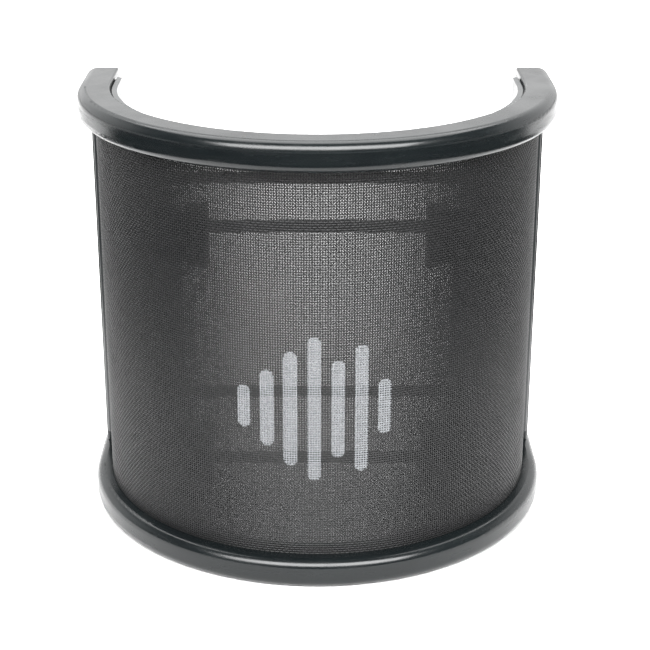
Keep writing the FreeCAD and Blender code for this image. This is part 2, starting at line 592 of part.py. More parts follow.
def make_right_strut():
    """A round bar that ties the upper and the lower arm together near their front ends."""
    strut = doc.addObject("Part::Cylinder", "right_strut")
    strut.Label = "right_strut"
    strut.setExpression("Radius", "Sheet.StrutDiameter / 2")
    strut.setExpression("Placement.Base.x", STRUT_X)
    strut.setExpression("Placement.Base.y", STRUT_Y)
    strut.setExpression("Placement.Base.z", STRUT_FOOT_Z)
    strut.setExpression("Height", "%s + Sheet.StrutSeat - (%s)" % (ARM_BASE_LOW, STRUT_FOOT_Z))
    return strut


def make_screw():
    """A round-headed screw that runs outwards through the right upper lug into its post."""
    shank = level_cylinder("screw_shank", "Sheet.ArmInnerRadius", SCREW_Y, SCREW_Z, "Sheet.ScrewDiameter / 2",
                           RIM_INNER + " - Sheet.ArmInnerRadius + Sheet.ScrewBite")
    head = level_cylinder("screw_head", "Sheet.ArmInnerRadius - Sheet.ScrewHeadHeight", SCREW_Y, SCREW_Z,
                          "Sheet.ScrewHeadDiameter / 2", "Sheet.ScrewHeadHeight")
    bars = []
    for name, width, height in (("recess_across", "Sheet.RecessLength", "Sheet.RecessWidth"),
                                ("recess_upright", "Sheet.RecessWidth", "Sheet.RecessLength")):
        bar = doc.addObject("Part::Box", name)
        bar.setExpression("Length", "Sheet.RecessDepth")
        bar.setExpression("Width", width)
        bar.setExpression("Height", height)
        bar.setExpression("Placement.Base.x", "Sheet.ArmInnerRadius - Sheet.ScrewHeadHeight")
        bar.setExpression("Placement.Base.y", "%s - %s / 2" % (SCREW_Y, width))
        bar.setExpression("Placement.Base.z", "%s - %s / 2" % (SCREW_Z, height))
        bars.append(bar)
    doc.recompute()
    outer_face = value("Sheet.ArmInnerRadius - Sheet.ScrewHeadHeight")
    rounded = doc.addObject("Part::Fillet", "screw_head_rounded")
    rounded.Base = head
    radius = value("Sheet.ScrewHeadRounding")
    rounded.Edges = [(i + 1, radius, radius) for i, edge in enumerate(head.Shape.Edges)
                     if edge.BoundBox.XLength < 1e-6 and abs(edge.BoundBox.XMin - outer_face) < 1e-4]
    whole = doc.addObject("Part::MultiFuse", "screw_whole")
    whole.Shapes = [shank, rounded]
    cross = doc.addObject("Part::MultiFuse", "screw_cross")
    cross.Shapes = bars
    screw = doc.addObject("Part::Cut", "screw_right_upper")
    screw.Base = whole
    screw.Tool = cross
    return screw


right_strut = make_right_strut()
left_strut = mirror("left_strut", right_strut)

screw_right_upper = make_screw()
screw_right_lower = mirror("screw_right_lower", screw_right_upper, CRADLE_Z)
lug_screws = doc.addObject("Part::Compound", "lug_screws")
lug_screws.Label = "lug_screws"
lug_screws.Links = [
    screw_right_upper,
    screw_right_lower,
    mirror("screw_left_upper", screw_right_upper),
    mirror("screw_left_lower", screw_right_lower),
]


# ---- elastic loops ----

def make_band_side():
    """A loop's right side: round the guide, along the arm's channel and out again at the back."""
    body = start_body("upper_band_right")
    path = plane_sketch(body, "BandPath", UPPER_BAND_Z)
    channel, rear_turn = value(CHANNEL_RADIUS), value("Sheet.RearTurn")
    front_y = arc_y - value("Sheet.FrontReach")
    turn = front_turn_centre()
    turn_end = math.atan2(turn[1] - arc_y, turn[0])
    rear_angle = -math.asin(rear_turn / (channel - rear_turn))
    rear_centre = ((channel - rear_turn) * math.cos(rear_angle), arc_y - rear_turn)
    front_line = add_line(path, (value("Sheet.FrontSpan") / 2, front_y), (turn[0], front_y))
    front_arc = add_arc(path, turn, value("Sheet.FrontTurn"), -math.pi / 2, turn_end)
    channel_arc = add_arc(path, (0, arc_y), channel, turn_end, rear_angle)
    rear_arc = add_arc(path, rear_centre, rear_turn, rear_angle, math.pi / 2)
    rear_line = add_line(path, (rear_centre[0], arc_y), (value("Sheet.RearSpan") / 2, arc_y))
    rule(path, "Horizontal", front_line)
    rule(path, "Horizontal", rear_line)
    rule(path, "Tangent", front_line, 2, front_arc, 1)
    rule(path, "Tangent", front_arc, 2, channel_arc, 1)
    rule(path, "Tangent", channel_arc, 2, rear_arc, 1)
    rule(path, "Tangent", rear_arc, 2, rear_line, 1)
    rule(path, "PointOnObject", channel_arc, 3, -2)
    dimension(path, "centre", ARC_Y, "DistanceY", -1, 1, channel_arc, 3)
    dimension(path, "channel", CHANNEL_RADIUS, "Radius", channel_arc)
    dimension(path, "front_turn", "Sheet.FrontTurn", "Radius", front_arc)
    dimension(path, "rear_turn", "Sheet.RearTurn", "Radius", rear_arc)
    dimension(path, "front_reach", "Sheet.FrontReach", "DistanceY", front_line, 1, channel_arc, 3)
    dimension(path, "rear_y", ARC_Y, "DistanceY", -1, 1, rear_line, 2)
    dimension(path, "front_start", "Sheet.FrontSpan / 2", "DistanceX", -1, 1, front_line, 1)
    dimension(path, "rear_start", "Sheet.RearSpan / 2", "DistanceX", -1, 1, rear_line, 2)
    section = plane_sketch(body, "BandSection", "Sheet.FrontSpan / 2", "YZ_Plane")
    ring = section.addGeometry(Part.Circle(FreeCAD.Vector(front_y, value(UPPER_BAND_Z), 0),
                                           FreeCAD.Vector(0, 0, 1), value("Sheet.BandDiameter") / 2), False)
    dimension(section, "forwards", "Sheet.FrontReach - " + ARC_Y, "DistanceX", ring, 3, -1, 1)
    dimension(section, "height", UPPER_BAND_Z, "DistanceY", -1, 1, ring, 3)
    dimension(section, "diameter", "Sheet.BandDiameter", "Diameter", ring)
    doc.recompute()
    pipe = body.newObject("PartDesign::AdditivePipe", "BandPipe")
    pipe.Profile = section
    pipe.Spine = (path, ["Edge%d" % (i + 1) for i in range(len(path.Shape.Edges))])
    body.Tip = pipe
    doc.recompute()
    return body


upper_band_right = make_band_side()
upper_band_left = mirror("upper_band_left", upper_band_right)
lower_band_right = mirror("lower_band_right", upper_band_right, CRADLE_Z)
lower_band_left = mirror("lower_band_left", lower_band_right)

band_middles = []
for level, band_z in (("upper", UPPER_BAND_Z), ("lower", LOWER_BAND_Z)):
    band_middles.append(level_cylinder(level + "_band_front", "-Sheet.FrontSpan / 2",
                                       ARC_Y + " - Sheet.FrontReach", band_z,
                                       "Sheet.BandDiameter / 2", "Sheet.FrontSpan"))
    band_middles.append(level_cylinder(level + "_band_rear", "-Sheet.RearSpan / 2", ARC_Y, band_z,
                                       "Sheet.BandDiameter / 2", "Sheet.RearSpan"))

SUB_PARTS = [
    top_rim, bottom_rim, outer_mesh, inner_mesh, top_mesh_retainer, bottom_mesh_retainer,
    left_end_post, right_end_post, left_edge_trim, right_edge_trim,
    left_upper_arm, right_upper_arm, left_lower_arm, right_lower_arm,
    left_upper_guide, right_upper_guide, left_lower_guide, right_lower_guide,
    left_strut, right_strut, lug_screws,
    upper_band_left, upper_band_right, lower_band_left, lower_band_right,
] + band_middles

doc.recompute()
for item in doc.Objects:
    if "Invalid" in item.State or "Error" in item.State:
        raise RuntimeError("%s did not build: %s" % (item.Label, item.State))
for piece in SUB_PARTS:
    if piece.Shape.isNull() or not piece.Shape.isValid() or not piece.Shape.Solids:
        raise RuntimeError("%s has no valid solid" % piece.Label)

os.makedirs("parts", exist_ok=True)
for piece in SUB_PARTS:
    piece.Shape.exportStep("parts/%s.step" % piece.Label)
    print("%-22s %d solid(s) %9.1f mm3" % (piece.Label, len(piece.Shape.Solids), piece.Shape.Volume))
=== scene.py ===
import math

import bmesh
import bpy
import numpy as np
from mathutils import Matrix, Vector


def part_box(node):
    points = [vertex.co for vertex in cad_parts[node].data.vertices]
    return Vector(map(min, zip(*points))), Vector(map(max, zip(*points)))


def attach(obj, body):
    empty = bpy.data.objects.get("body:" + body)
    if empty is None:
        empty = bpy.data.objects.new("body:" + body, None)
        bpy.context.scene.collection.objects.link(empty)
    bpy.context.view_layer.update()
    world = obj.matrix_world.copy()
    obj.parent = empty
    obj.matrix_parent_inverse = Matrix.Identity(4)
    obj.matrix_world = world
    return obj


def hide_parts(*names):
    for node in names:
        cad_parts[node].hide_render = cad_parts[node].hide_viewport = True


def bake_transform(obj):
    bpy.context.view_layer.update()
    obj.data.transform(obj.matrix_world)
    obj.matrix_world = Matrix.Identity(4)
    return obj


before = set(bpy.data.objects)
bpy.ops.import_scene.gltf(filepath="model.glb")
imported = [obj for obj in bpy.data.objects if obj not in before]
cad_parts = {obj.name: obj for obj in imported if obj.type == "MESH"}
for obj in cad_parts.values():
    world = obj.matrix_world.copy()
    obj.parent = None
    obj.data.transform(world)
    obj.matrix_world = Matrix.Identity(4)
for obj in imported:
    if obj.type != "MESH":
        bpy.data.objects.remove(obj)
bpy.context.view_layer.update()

# Places read from the frame, in metres. The round front's centre line is at ARC_Y.
RIM_LOW, RIM_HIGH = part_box("top_rim")
RIM_RADIUS = (RIM_HIGH.x - RIM_LOW.x) / 2
ARC_Y = RIM_LOW.y + RIM_RADIUS
TOP_Z = RIM_HIGH.z
OUTER_LOW, OUTER_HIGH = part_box("outer_mesh")
INNER_LOW, INNER_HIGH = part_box("inner_mesh")
OUTER_RADIUS = OUTER_HIGH.x
INNER_RADIUS = INNER_HIGH.x

# Sizes of the wires, in metres. WEAVE_SWING is how far a woven wire swings out and in at its crossings.
WIRE_RADIUS = 0.00015
UPRIGHT_PITCH = 0.000567
LEVEL_PITCH = 0.000554
WEAVE_SWING = 0.00009
FINE_RADIUS = 0.0000725
FINE_PITCH = 0.00022
SHEET_HALF = 0.0002


# ---- small node helpers ----

def new_material(name):
    material = bpy.data.materials.new(name)
    material.use_nodes = True
    tree = material.node_tree
    return material, tree, tree.nodes["Principled BSDF"]


def object_coordinates(tree, scale=(1, 1, 1)):
    coordinates = tree.nodes.new("ShaderNodeTexCoord")
    mapping = tree.nodes.new("ShaderNodeMapping")
    mapping.inputs["Scale"].default_value = scale
    tree.links.new(coordinates.outputs["Object"], mapping.inputs["Vector"])
    return mapping.outputs["Vector"]


def noise(tree, vector, scale, detail=3.0, roughness=0.55):
    node = tree.nodes.new("ShaderNodeTexNoise")
    node.inputs["Scale"].default_value = scale
    node.inputs["Detail"].default_value = detail
    node.inputs["Roughness"].default_value = roughness
    tree.links.new(vector, node.inputs["Vector"])
    return node.outputs["Fac"]


def remap(tree, value, low, high, from_low=0.0, from_high=1.0):
    node = tree.nodes.new("ShaderNodeMapRange")
    node.inputs["From Min"].default_value = from_low
    node.inputs["From Max"].default_value = from_high
    node.inputs["To Min"].default_value = low
    node.inputs["To Max"].default_value = high
    tree.links.new(value, node.inputs["Value"])
    return node.outputs["Result"]


def ramp(tree, value, colours):
    node = tree.nodes.new("ShaderNodeValToRGB")
    elements = node.color_ramp.elements
    while len(elements) < len(colours):
        elements.new(0.5)
    for element, (position, colour) in zip(elements, colours):
        element.position = position
        element.color = (*colour, 1)
    tree.links.new(value, node.inputs["Fac"])
    return node.outputs["Color"]


def bump(tree, height, distance, strength=1.0, normal=None):
    node = tree.nodes.new("ShaderNodeBump")
    node.inputs["Strength"].default_value = strength
    node.inputs["Distance"].default_value = distance
    tree.links.new(height, node.inputs["Height"])
    if normal is not None:
        tree.links.new(normal, node.inputs["Normal"])
    return node.outputs["Normal"]


def math_node(tree, operation, *values):
    node = tree.nodes.new("ShaderNodeMath")
    node.operation = operation
    for socket, given in zip(node.inputs, values):
        if isinstance(given, (int, float)):
            socket.default_value = given
        else:
            tree.links.new(given, socket)
    return node.outputs["Value"]


def smooth(tree, value, low, high):
    """0 at low and 1 at high with soft ends; low may be the larger of the two."""
    node = tree.nodes.new("ShaderNodeMapRange")
    node.interpolation_type = "SMOOTHSTEP"
    node.inputs["From Min"].default_value = min(low, high)
    node.inputs["From Max"].default_value = max(low, high)
    node.inputs["To Min"].default_value = 0.0 if low < high else 1.0
    node.inputs["To Max"].default_value = 1.0 if low < high else 0.0
    tree.links.new(value, node.inputs["Value"])
    return node.outputs["Result"]


# ---- materials ----

def rim_paint():
    """Satin black enamel with a cold tint, fine level streaks and slow changes of tone."""
    material, tree, shader = new_material("rim_enamel")
    plain = object_coordinates(tree)
    streaks = noise(tree, object_coordinates(tree, (0.12, 0.12, 1)), 900.0, 4.0)
    cloud = noise(tree, plain, 45.0, 4.0)
    grain = noise(tree, plain, 2600.0, 2.0)
    shader.inputs["IOR"].default_value = 1.5
    colour = ramp(tree, cloud, [(0.3, (0.0026, 0.0040, 0.0046)), (0.7, (0.0042, 0.0064, 0.0070))])
    tree.links.new(colour, shader.inputs["Base Color"])
    tree.links.new(remap(tree, streaks, 0.17, 0.3, 0.3, 0.7), shader.inputs["Roughness"])
    normal = bump(tree, grain, 0.000012, 0.5)
    normal = bump(tree, streaks, 0.00002, 0.5, normal)
    tree.links.new(normal, shader.inputs["Normal"])
    return material


def moulded_black(name, colour, rough, grain_depth):
    """Fine-grained moulded plastic."""
    material, tree, shader = new_material(name)
    plain = object_coordinates(tree)
    cloud = noise(tree, plain, 120.0, 3.0)
    grain = noise(tree, plain, 5200.0, 2.0)
    dark = tuple(0.75 * part for part in colour)
    light = tuple(1.3 * part for part in colour)
    tree.links.new(ramp(tree, cloud, [(0.3, dark), (0.72, light)]), shader.inputs["Base Color"])
    tree.links.new(remap(tree, cloud, rough - 0.06, rough + 0.08, 0.3, 0.7), shader.inputs["Roughness"])
    tree.links.new(bump(tree, grain, grain_depth, 0.6), shader.inputs["Normal"])
    return material


def coated_wire(name, colour, rough):
    """Thin paint on fine wire, with slight changes along the weave."""
    material, tree, shader = new_material(name)
    plain = object_coordinates(tree)
    cloud = noise(tree, plain, 60.0, 3.0)
    speckle = noise(tree, plain, 1900.0, 2.0)
    dark = tuple(0.8 * part for part in colour)
    light = tuple(1.2 * part for part in colour)
    tree.links.new(ramp(tree, speckle, [(0.35, dark), (0.65, light)]), shader.inputs["Base Color"])
    tree.links.new(remap(tree, cloud, rough - 0.05, rough + 0.07, 0.3, 0.7), shader.inputs["Roughness"])
    return material


def metal(name, colour, rough, stretch):
    """Coated or plated steel; stretch gives the direction of its drawing marks."""
    material, tree, shader = new_material(name)
    marks = noise(tree, object_coordinates(tree, stretch), 900.0, 3.0)
    tarnish = noise(tree, object_coordinates(tree), 300.0, 3.0)
    dark = tuple(0.82 * part for part in colour)
    tree.links.new(ramp(tree, tarnish, [(0.35, dark), (0.65, colour)]), shader.inputs["Base Color"])
    tree.links.new(remap(tree, marks, rough - 0.08, rough + 0.1, 0.3, 0.7), shader.inputs["Roughness"])
    tree.links.new(bump(tree, marks, 0.00001, 0.5), shader.inputs["Normal"])
    shader.inputs["Metallic"].default_value = 1.0
    return material


ENAMEL = rim_paint()
RETAINER = moulded_black("retainer_strip", (0.014, 0.017, 0.018), 0.2, 0.000006)
CRADLE = moulded_black("cradle_plastic", (0.012, 0.0125, 0.013), 0.48, 0.000025)
TRIM = moulded_black("edge_trim_plastic", (0.011, 0.013, 0.0135), 0.32, 0.00001)
ELASTIC = moulded_black("elastic_skin", (0.012, 0.012, 0.013), 0.62, 0.00003)
WIRE = coated_wire("mesh_coating", (0.009, 0.0092, 0.0097), 0.36)
INK = coated_wire("print_ink", (0.18, 0.188, 0.196), 0.6)
STRUT = metal("strut_coating", (0.05, 0.052, 0.055), 0.38, (1, 1, 0.05))
SCREW = metal("screw_plating", (0.5, 0.5, 0.52), 0.28, (1, 1, 1))

NODE_MATERIALS = {
    ENAMEL: ["top_rim", "bottom_rim", "left_end_post", "right_end_post"],
    TRIM: ["left_edge_trim", "right_edge_trim"],
    RETAINER: ["top_mesh_retainer", "bottom_mesh_retainer"],
    CRADLE: ["%s_%s_%s" % (side, level, kind)
             for side in ("left", "right") for level in ("upper", "lower") for kind in ("arm", "guide")],
    STRUT: ["left_strut", "right_strut"],
    SCREW: ["lug_screws"],
}
for material, names in NODE_MATERIALS.items():
    for name in names:
        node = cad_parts[name]
        node.data.materials.clear()
        node.data.materials.append(material)


# ---- wire meshes ----

MESH_PARTS = 3
BEND_STEP = 0.0021
SHORTEST_WIRE = 0.0006
SHORTEST_END = 0.00005


def mesh_object(name, points, quads, material):
    """An object with smooth shading from points and four-sided faces."""
    mesh = bpy.data.meshes.new(name)
    points = np.asarray(points, np.float32)
    quads = np.asarray(quads, np.int32)
    mesh.vertices.add(len(points))
    mesh.vertices.foreach_set("co", points.ravel())
    mesh.loops.add(quads.size)
    mesh.loops.foreach_set("vertex_index", quads.ravel())
    mesh.polygons.add(len(quads))
    mesh.polygons.foreach_set("loop_start", np.arange(0, quads.size, 4, dtype=np.int32))
    mesh.polygons.foreach_set("loop_total", np.full(len(quads), 4, np.int32))
    mesh.polygons.foreach_set("use_smooth", np.full(len(quads), True))
    mesh.update(calc_edges=True)
    mesh.materials.append(material)
    made = bpy.data.objects.new(name, mesh)
    bpy.context.scene.collection.objects.link(made)
    return made


def on_wall(along, radius):
    """Points on the U-shaped wall of that radius, measured from its centre line, and the outward
    directions there. along is measured along the wall, from the middle of the front."""
    quarter = math.pi / 2 * radius
    angle = np.clip(along, -quarter, quarter) / radius
    outward = np.stack([np.sin(angle), -np.cos(angle)], axis=-1)
    past = np.abs(along) - quarter
    back = np.where(past > 0, past, 0.0)
    places = outward * radius
    places[..., 1] += back
    return places, outward


def tubes(centres, first_side, second_side, radius, sides=4):
    """One closed tube along a row of centre points; the two side directions span its section."""
    count = len(centres)
    angles = (np.arange(sides) + 0.5) * 2 * math.pi / sides
    across = np.cos(angles)[None, :, None] * first_side[:, None]
    across = across + np.sin(angles)[None, :, None] * second_side[:, None]
    points = (centres[:, None] + radius * across).reshape(-1, 3)
    step = np.arange(count - 1)[:, None] * sides
    side = np.arange(sides)[None, :]
    following = (side + 1) % sides
    quads = np.stack([step + side, step + following, step + sides + following, step + sides + side], axis=-1)
    return points, quads.reshape(-1, 4)


def four_sided_ends(count):
    """The two end faces of a tube with four sides."""
    last = (count - 1) * 4
    return np.array([[3, 2, 1, 0], [last, last + 1, last + 2, last + 3]])


def run_positions(crossings, start, end):
    """Start, the crossings that lie clearly in between, and end."""
    inside = crossings[(crossings > start + SHORTEST_END) & (crossings < end - SHORTEST_END)]
    return np.concatenate([[start], inside, [end]])


def wire_run(origin, direction, crossings, signs, start, end, radius, lift=0.0):
    """One wire on the unrolled wall: a line through origin, from start to end along direction.
    It swings out or in at each crossing, as its sign says, and lift moves all of it outwards.
    Gives the centre points and two side directions."""
    place = run_positions(crossings, start, end)
    wave = np.interp(place, crossings, signs * WEAVE_SWING) + lift
    walls, outward = on_wall(origin[0] + direction[0] * place, radius)
    level_zero = np.zeros(len(place))
    outward = np.column_stack([outward, level_zero])
    tangent = np.column_stack([-outward[:, 1], outward[:, 0], level_zero])
    up = np.column_stack([level_zero, level_zero, level_zero + 1])
    centres = np.column_stack([walls[:, 0], ARC_Y + walls[:, 1], origin[1] + direction[1] * place])
    centres += outward * wave[:, None]
    along = tangent * direction[0] + up * direction[1]
    return centres, outward, np.cross(along, outward)


def join_tubes(runs, radius):
    """Points and faces of many closed four-sided tubes."""
    points, quads, offset = [], [], 0
    for centres, first_side, second_side in runs:
        more_points, more_quads = tubes(centres, first_side, second_side, radius)
        points.append(more_points)
        quads.append(more_quads + offset)
        quads.append(four_sided_ends(len(centres)) + offset)
        offset += len(more_points)
    return np.concatenate(points), np.concatenate(quads)


def wall_length(radius, end_y):
    """Length of the wall from the middle of the front to one end."""
    return math.pi / 2 * radius + end_y - ARC_Y


def wall_grid(length, low_z, high_z):
    """Places of the upright wires along the wall and heights of the level wires."""
    columns = int((length - WIRE_RADIUS) / UPRIGHT_PITCH)
    along = np.arange(-columns, columns + 1) * UPRIGHT_PITCH
    rows = int((high_z - low_z - 2 * WIRE_RADIUS) / LEVEL_PITCH) + 1
    heights = (low_z + high_z) / 2 + (np.arange(rows) - (rows - 1) / 2) * LEVEL_PITCH
    return along, heights


def alternating(count, first):
    """+1 and -1 in turn, starting with +1 if first is even."""
    return np.where((np.arange(count) + first) % 2 == 0, 1.0, -1.0)


def square_weave(radius, along, heights, length, low_z, high_z):
    """Upright and level wires that pass over and under each other."""
    uprights = [wire_run((place, 0), (0, 1), heights, alternating(len(heights), i), low_z, high_z, radius)
                for i, place in enumerate(along)]
    levels = [wire_run((0, z), (1, 0), along, alternating(len(along), j + 1), -length, length, radius)
              for j, z in enumerate(heights)]
    return {"uprights": uprights, "levels": levels}


def fine_bias_layers(radius, length, low_z, high_z):
    """Fine wires at 45 degrees, laid across each other: the rising ones outside, the falling ones inside."""
    middle_z, half_height = (low_z + high_z) / 2, (high_z - low_z) / 2
    slant = math.sqrt(0.5)
    count = int((length + half_height) * slant / FINE_PITCH)
    reach = int((length + half_height) / BEND_STEP)
    bends = np.arange(-reach, reach + 1) * BEND_STEP
    families = {}
    for name, rise in (("rising", 1), ("falling", -1)):
        runs = []
        for offset in np.arange(-count, count + 1) * FINE_PITCH:
            start = max(-length / slant - offset, -half_height / slant + offset)
            end = min(length / slant - offset, half_height / slant + offset)
            if end - start > SHORTEST_WIRE:
                origin = (offset * slant, middle_z - rise * offset * slant)
                runs.append(wire_run(origin, (slant, rise * slant), bends, np.zeros(len(bends)),
                                     start, end, radius, rise * FINE_RADIUS))
        families[name] = runs
    return families


def make_mesh_pieces(node, families, wire_radius):
    """Splits each family of wires over a few pieces that stand in for the plain sheet."""
    for family, runs in families.items():
        for part, chosen in enumerate(np.array_split(np.arange(len(runs)), MESH_PARTS)):
            points, quads = join_tubes([runs[k] for k in chosen], wire_radius)
            piece = mesh_object("%s_%s_%d" % (node, family, part + 1), points, quads, WIRE)
            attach(piece, "filter")
            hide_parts(node)


outer_radius = OUTER_RADIUS - SHEET_HALF
outer_length = wall_length(outer_radius, OUTER_HIGH.y)
outer_along, outer_heights = wall_grid(outer_length, OUTER_LOW.z, OUTER_HIGH.z)
outer_wires = square_weave(outer_radius, outer_along, outer_heights, outer_length, OUTER_LOW.z, OUTER_HIGH.z)
make_mesh_pieces("outer_mesh", outer_wires, WIRE_RADIUS)
inner_radius = INNER_RADIUS - SHEET_HALF
inner_length = wall_length(inner_radius, INNER_HIGH.y)
inner_wires = fine_bias_layers(inner_radius, inner_length, INNER_LOW.z, INNER_HIGH.z)
make_mesh_pieces("inner_mesh", inner_wires, FINE_RADIUS)


# ---- generic print on the outer mesh ----

# Upright bars with round ends. Their ink lies on the wires, so it is a little wider and further out.
BAR_HEIGHTS = [0.010, 0.018, 0.027, 0.034, 0.023, 0.030, 0.013]
BAR_SPACING = 0.0052
BAR_WIDTH = 0.003
PRINT_X = -0.0007
PRINT_Z = 0.0423
PRINT_LIFT = 0.000022
INK_RADIUS = WIRE_RADIUS * 1.03
SHORTEST_PRINT = 0.0003


def half_extent(offset, half_width, half_height):
    """Half the height of a bar at a distance from its middle line."""
    if abs(offset) >= half_width:
        return 0.0
    return half_height - half_width + math.sqrt(half_width ** 2 - offset ** 2)


def half_breadth(offset, half_width, half_height):
    """Half the width of a bar at a height above or below its middle."""
    past = abs(offset) - (half_height - half_width)
    if past >= half_width:
        return 0.0
    return half_width if past <= 0 else math.sqrt(half_width ** 2 - past ** 2)


def print_runs(radius, along, heights):
    """The stretches of wire that lie inside each bar of the print."""
    uprights, levels = [], []
    half_width = BAR_WIDTH / 2
    for bar, bar_height in enumerate(BAR_HEIGHTS):
        middle = PRINT_X + (bar - len(BAR_HEIGHTS) // 2) * BAR_SPACING
        half_height = bar_height / 2
        for i, place in enumerate(along):
            reach = half_extent(place - middle, half_width, half_height)
            if reach > SHORTEST_PRINT:
                uprights.append(wire_run((place, 0), (0, 1), heights, alternating(len(heights), i),
                                         PRINT_Z - reach, PRINT_Z + reach, radius, PRINT_LIFT))
        for j, z in enumerate(heights):
            breadth = half_breadth(z - PRINT_Z, half_width, half_height)
            if breadth > SHORTEST_PRINT:
                levels.append(wire_run((0, z), (1, 0), along, alternating(len(along), j + 1),
                                       middle - breadth, middle + breadth, radius, PRINT_LIFT))
    return {"uprights": uprights, "levels": levels}


for family, runs in print_runs(outer_radius, outer_along, outer_heights).items():
    points, quads = join_tubes(runs, INK_RADIUS)
    piece = mesh_object("sound_bars_print_" + family, points, quads, INK)
    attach(piece, "filter")
    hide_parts("outer_mesh")


# ---- elastic loops ----

# FRONT_TURN and REAR_TURN are the radii of a loop's centre line at its corners. LOOP_FRONT_FREE and
# LOOP_REAR_FREE are distances from the middle plane that are not used; the side pieces of a loop do not
# bend.
FRONT_TURN = 0.003
REAR_TURN = 0.0026
LOOP_FRONT_FREE = 0.0235
LOOP_REAR_FREE = 0.0425
LOOP_SPLIT = math.radians(-20)
LOOP_SIDES = 20
LOOP_STEP = 0.0003


def arc_places(centre, radius, start, end):
    """Level places along an arc, from one angle to another."""
    count = max(int(abs(end - start) * radius / LOOP_STEP), 8)
    angles = np.linspace(start, end, count)
    return [(centre[0] + radius * math.cos(a), centre[1] + radius * math.sin(a)) for a in angles]


def line_places(start, end):
    """Level places along a straight line."""
    count = max(int(math.dist(start, end) / LOOP_STEP), 4)
    return [(start[0] + (end[0] - start[0]) * t, start[1] + (end[1] - start[1]) * t)
            for t in np.linspace(0, 1, count)]


def joined(*stretches):
    """One line of places without the repeats where stretches meet."""
    places = []
    for stretch in stretches:
        for place in stretch:
            if not places or math.dist(place, places[-1]) > 1e-7:
                places.append(place)
    return np.array(places)


def close_ends(piece, count):
    """Adds the two flat ends of a cord of count rings."""
    shape = bmesh.new()
    shape.from_mesh(piece.data)
    shape.verts.ensure_lookup_table()
    first = [shape.verts[k] for k in range(LOOP_SIDES)]
    last = [shape.verts[(count - 1) * LOOP_SIDES + k] for k in range(LOOP_SIDES)]
    shape.faces.new(first[::-1])
    shape.faces.new(last)
    shape.to_mesh(piece.data)
    shape.free()


def loop_piece(name, places, z, radius, node):
    """A round cord along level places, which stands in for a CAD node."""
    centres = np.column_stack([places, np.full(len(places), z)])
    forward = np.gradient(places, axis=0)
    forward /= np.linalg.norm(forward, axis=1)[:, None]
    side = np.column_stack([forward[:, 1], -forward[:, 0], np.zeros(len(places))])
    up = np.zeros_like(centres)
    up[:, 2] = 1
    points, quads = tubes(centres, side, up, radius, LOOP_SIDES)
    piece = mesh_object(name, points, quads, ELASTIC)
    close_ends(piece, len(places))
    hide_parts(node)
    return piece


def elastic_loop(level):
    """A loop in six pieces: a front and a rear run, which move, and the four pieces between them, two on
    each side, which stay in place and do not bend. channel is the radius of the arc that the loop follows in
    the arms."""
    front_low, front_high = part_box(level + "_band_front")
    rear_low, rear_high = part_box(level + "_band_rear")
    radius = (front_high.z - front_low.z) / 2
    z = (front_high.z + front_low.z) / 2
    front_y = (front_low.y + front_high.y) / 2
    rear_y = (rear_low.y + rear_high.y) / 2
    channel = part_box(level + "_band_right")[1].x - radius
    turn_y = front_y + FRONT_TURN
    turn_x = math.sqrt((channel - FRONT_TURN) ** 2 - (ARC_Y - turn_y) ** 2)
    turn_angle = math.atan2(turn_y - ARC_Y, turn_x)
    rear_angle = -math.asin(REAR_TURN / (channel - REAR_TURN))
    rear_centre = ((channel - REAR_TURN) * math.cos(rear_angle), rear_y - REAR_TURN)
    front_run, rear_run = level + "_front_run", level + "_rear_run"
    front_places = joined(line_places((front_low.x, front_y), (front_high.x, front_y)))
    piece = loop_piece(level + "_elastic_front", front_places, z, radius, level + "_band_front")
    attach(piece, front_run)
    rear_places = joined(line_places((rear_high.x, rear_y), (rear_low.x, rear_y)))
    piece = loop_piece(level + "_elastic_rear", rear_places, z, radius, level + "_band_rear")
    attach(piece, rear_run)
    near = joined(line_places((front_high.x, front_y), (turn_x, front_y)),
                  arc_places((turn_x, turn_y), FRONT_TURN, -math.pi / 2, turn_angle),
                  arc_places((0, ARC_Y), channel, turn_angle, LOOP_SPLIT))
    far = joined(arc_places((0, ARC_Y), channel, LOOP_SPLIT, rear_angle),
                 arc_places(rear_centre, REAR_TURN, rear_angle, math.pi / 2),
                 line_places((rear_centre[0], rear_y), (rear_high.x, rear_y)))
    for side, sign in (("right", 1), ("left", -1)):
        node = "%s_band_%s" % (level, side)
        for part, places, run, start_x, end_x, y in (
                ("front", near, front_run, LOOP_FRONT_FREE, front_high.x, front_y),
                ("rear", far, rear_run, LOOP_REAR_FREE, rear_high.x, rear_y)):
            turned = (places * (sign, 1))[::sign]
            piece = loop_piece("%s_elastic_%s_%s" % (level, side, part), turned, z, radius, node)
            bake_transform(piece)


for level in ("upper", "lower"):
    elastic_loop(level)


# ---- floor and world ----

FLOOR_HALF = 6

# The wall starts where Y plus a share of the side direction passes WALL_START; it fades over WALL_TOP.
WALL_TURN = 0.2
WALL_START = (0.0, 0.7)
WALL_TOP = (0.72, 0.45)
WALL_LIGHT = 1.55
ROOM_LIGHT = 0.18


def floor_material():
    """Matt, nearly white board."""
    material, tree, shader = new_material("studio_floor")
    cloud = noise(tree, object_coordinates(tree), 3.0, 2.0)
    tree.links.new(ramp(tree, cloud, [(0.3, (0.8, 0.8, 0.8)), (0.7, (0.82, 0.82, 0.82))]),
                   shader.inputs["Base Color"])
    shader.inputs["Roughness"].default_value = 0.9
    shader.inputs["Specular IOR Level"].default_value = 0.1
    return material


def level_corners(low_x, low_y, high_x, high_y, z):
    """The four corners of a level rectangle."""
    return [(low_x, low_y, z), (high_x, low_y, z), (high_x, high_y, z), (low_x, high_y, z)]


